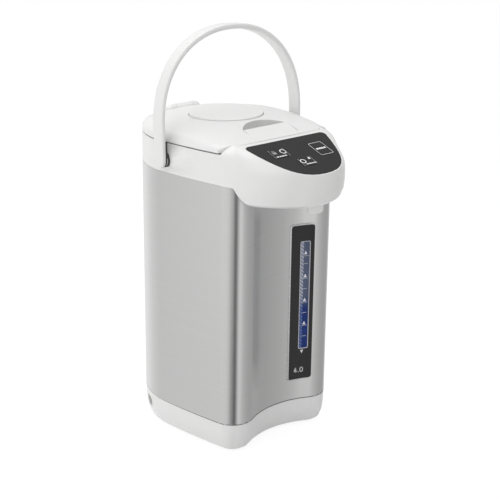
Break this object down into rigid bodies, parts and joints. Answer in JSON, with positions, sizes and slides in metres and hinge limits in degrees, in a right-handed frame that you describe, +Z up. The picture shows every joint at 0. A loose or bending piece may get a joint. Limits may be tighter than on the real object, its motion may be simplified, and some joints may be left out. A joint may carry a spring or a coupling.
{
  "type": "water boiler",
  "caption": "Electric hot water pot with a steel body, a spout head with a key panel, a water gauge, a hinged lid with a hand pump plate and a carrying bail.",
  "frame": {"origin": "centre of the whole box in plan, on the underside of the feet", "axes": "+Z up, -Y towards the spout head and the water gauge, +X the pot's left-hand side as it faces you"},
  "size_m": [0.2324, 0.2954, 0.529],
  "materials": {
    "white_plastic": "smooth white",
    "steel_wrap": "brushed lengthwise",
    "pot_steel": "drawn",
    "pin_steel": "turned",
    "panel_black": "gloss black",
    "grey_plastic": "moulded",
    "foot_rubber": "dull",
    "silicone": "pale and dull",
    "gauge_blue": "clear blue",
    "clear_tube": "clear",
    "heater_metal": "cast",
    "contact_brass": "bright",
    "board_green": "lacquered"
  },
  "bodies": {
    "pot": {"base_cover": "white_plastic", "bottom_plate": "grey_plastic", "foot_1": "foot_rubber", "foot_2": "foot_rubber", "foot_3": "foot_rubber", "foot_4": "foot_rubber", "power_inlet": "grey_plastic", "inlet_pin_1": "contact_brass", "inlet_pin_2": "contact_brass", "steel_casing": "steel_wrap", "gauge_plate": "panel_black", "gauge_window": "gauge_blue", "gauge_tube": "clear_tube", "outlet_pipe": "silicone", "inner_pot": "pot_steel", "pot_gasket": "silicone", "heater_plate": "heater_metal", "thermostat": "grey_plastic", "pump_motor": "pin_steel", "water_pump": "grey_plastic", "drain_hose": "silicone", "gauge_hose": "silicone", "power_board": "board_green", "relay": "grey_plastic", "coil": "contact_brass", "top_housing": "white_plastic", "head_cover": "white_plastic", "spout_nozzle": "white_plastic", "control_panel": "panel_black", "switch_board": "board_green", "switch_1": "grey_plastic", "switch_2": "grey_plastic", "switch_3": "grey_plastic", "hinge_pin": "pin_steel", "hinge_cover": "white_plastic"},
    "lid": {"lid_top": "white_plastic", "lid_liner": "white_plastic", "lid_seal": "silicone", "lever_pin": "pin_steel", "pump_bellows": "silicone"},
    "pump": {"pump_plate": "white_plastic"},
    "lever": {"latch_lever": "white_plastic"},
    "bail": {"carry_handle": "white_plastic"},
    "first_key": {"key_1": "panel_black"},
    "second_key": {"key_2": "panel_black"},
    "third_key": {"key_3": "panel_black"}
  },
  "joints": [
    {"name": "bail_swing", "type": "hinge", "parent": "pot", "child": "bail", "pos_m": [0, 0.02725, 0.372], "axis": [1, 0, 0], "range_deg": [-88, 80]},
    {"name": "lid_open", "type": "hinge", "parent": "pot", "child": "lid", "pos_m": [0, 0.12525, 0.4056], "axis": [-1, 0, 0], "range_deg": [0, 27]},
    {"name": "pump_press", "type": "slide", "parent": "lid", "child": "pump", "axis": [0, 0, -1], "range_m": [0, 0.014], "stiffness_N_per_m": 500, "springref_m": -0.01, "deforming": ["pump_bellows"]},
    {"name": "lever_lift", "type": "hinge", "parent": "lid", "child": "lever", "pos_m": [0, -0.0557, 0.4012], "axis": [1, 0, 0], "range_deg": [0, 20], "stiffness_Nm_per_rad": 0.2, "springref_deg": -17.19},
    {"name": "key_1_press", "type": "slide", "parent": "pot", "child": "first_key", "axis": [0, 0.342, -0.9397], "range_m": [0, 0.0006], "stiffness_N_per_m": 2000, "springref_m": -0.0005},
    {"name": "key_2_press", "type": "slide", "parent": "pot", "child": "second_key", "axis": [0, 0.342, -0.9397], "range_m": [0, 0.0006], "stiffness_N_per_m": 2000, "springref_m": -0.0005},
    {"name": "key_3_press", "type": "slide", "parent": "pot", "child": "third_key", "axis": [0, 0.342, -0.9397], "range_m": [0, 0.0006], "stiffness_N_per_m": 2000, "springref_m": -0.0005}
  ]
}
